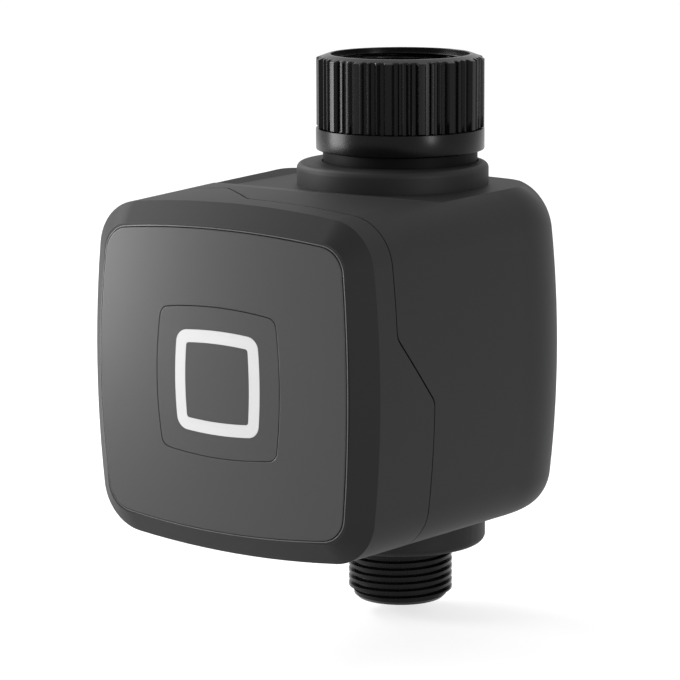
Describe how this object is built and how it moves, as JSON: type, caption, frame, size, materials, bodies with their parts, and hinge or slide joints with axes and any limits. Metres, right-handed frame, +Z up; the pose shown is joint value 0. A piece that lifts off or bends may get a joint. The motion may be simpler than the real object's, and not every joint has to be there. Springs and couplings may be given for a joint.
{
  "type": "smart water timer",
  "caption": "Tap-mounted water timer: square dark grey casing with a push button and light ring, ribbed swivel inlet nut and threaded outlet.",
  "frame": {"origin": "on the water axis, where the full thread of the swivel nut begins, 1.2 mm inside its mouth", "axes": "+Z up along the water axis, out of the nut's mouth; -Y out of the face panel; +X to the right seen from the front"},
  "size_m": [0.0868, 0.1031, 0.139],
  "materials": {
    "casing": "fine satin texture",
    "panel": "satin",
    "black": "satin black",
    "ring_white": "translucent white",
    "rubber": "matt",
    "inner_plastic": "matt",
    "pale_plastic": "natural acetal",
    "clear_plastic": "clear",
    "brass": "plated",
    "steel": "bright",
    "board": "solder mask",
    "chip": "moulded",
    "shield": "tinned",
    "cell": "plain sleeve",
    "seat": "low-friction white"
  },
  "bodies": {
    "housing": {"rear_housing": "casing", "valve_body": "black", "inlet_tailpiece": "black", "inlet_oring": "rubber", "inlet_washer": "rubber", "filter_screen": "steel", "inlet_seat": "seat", "outlet_seat": "seat", "outlet_seal": "rubber", "stem_bush": "pale_plastic", "gearbox_base": "inner_plastic", "gearbox_cover": "inner_plastic", "gear_axles": "steel", "gearbox_screws": "steel", "gearbox_mount_screws": "steel", "motor_can": "steel", "motor_end_cap": "inner_plastic", "motor_terminals": "brass", "motor_screws": "steel", "position_board": "board", "limit_switches": "chip", "inner_cover": "inner_plastic", "inner_cover_screws": "steel", "contact_pads": "brass", "module_gasket": "rubber"},
    "nut": {"swivel_nut": "black"},
    "front_module": {"front_shell": "casing", "face_panel": "panel", "button_frame": "inner_plastic", "button_frame_screws": "steel", "button_seal": "rubber", "light_guide": "clear_plastic", "main_board": "board", "radio_module": "shield", "processor_chip": "chip", "tact_switch": "chip", "status_leds": "clear_plastic", "board_screws": "steel", "battery_tray": "inner_plastic", "tray_screws": "steel", "battery_cells": "cell", "battery_contacts": "steel", "spring_pins": "brass", "board_connector": "pale_plastic"},
    "button": {"button_cap": "panel", "light_ring": "ring_white"},
    "plunger": {"tact_plunger": "pale_plastic"},
    "valve": {"valve_ball": "brass", "valve_stem": "brass", "stem_orings": "rubber", "output_gear": "pale_plastic", "position_cam": "pale_plastic"},
    "second_wheel": {"second_gear": "pale_plastic"},
    "first_wheel": {"first_gear": "pale_plastic"},
    "rotor": {"motor_shaft": "steel", "motor_pinion": "brass"}
  },
  "joints": [
    {"name": "nut_spin", "type": "hinge", "parent": "housing", "child": "nut", "pos_m": [0, 0, -0.0103], "axis": [0, 0, 1], "continuous": true},
    {"name": "front_module_slide", "type": "slide", "parent": "housing", "child": "front_module", "axis": [0, -1, 0], "range_m": [0, 0.03]},
    {"name": "button_press", "type": "slide", "parent": "front_module", "child": "button", "axis": [0, 1, 0], "range_m": [0, 0.0005], "stiffness_N_per_m": 800, "springref_m": -0.001},
    {"name": "plunger_press", "type": "slide", "parent": "front_module", "child": "plunger", "axis": [0, 1, 0], "range_m": [0, 0.0005]},
    {"name": "valve_turn", "type": "hinge", "parent": "housing", "child": "valve", "pos_m": [0, -0.02, -0.0703], "axis": [0, 1, 0], "range_deg": [0, 90]},
    {"name": "second_wheel_turn", "type": "hinge", "parent": "housing", "child": "second_wheel", "pos_m": [0.01955, -0.024, -0.07741], "axis": [0, 1, 0], "range_deg": [-300, 0]},
    {"name": "first_wheel_turn", "type": "hinge", "parent": "housing", "child": "first_wheel", "pos_m": [0.01346, -0.028, -0.09046], "axis": [0, 1, 0], "range_deg": [0, 900]},
    {"name": "motor_turn", "type": "hinge", "parent": "housing", "child": "rotor", "pos_m": [0.02781, -0.02, -0.09172], "axis": [0, 1, 0], "range_deg": [-2700, 0]}
  ],
  "couplings": [
    {"joint": "plunger_press", "follows": "button_press", "ratio": 1},
    {"joint": "second_wheel_turn", "follows": "valve_turn", "ratio": -3.3333},
    {"joint": "first_wheel_turn", "follows": "valve_turn", "ratio": 10},
    {"joint": "motor_turn", "follows": "valve_turn", "ratio": -30}
  ]
}
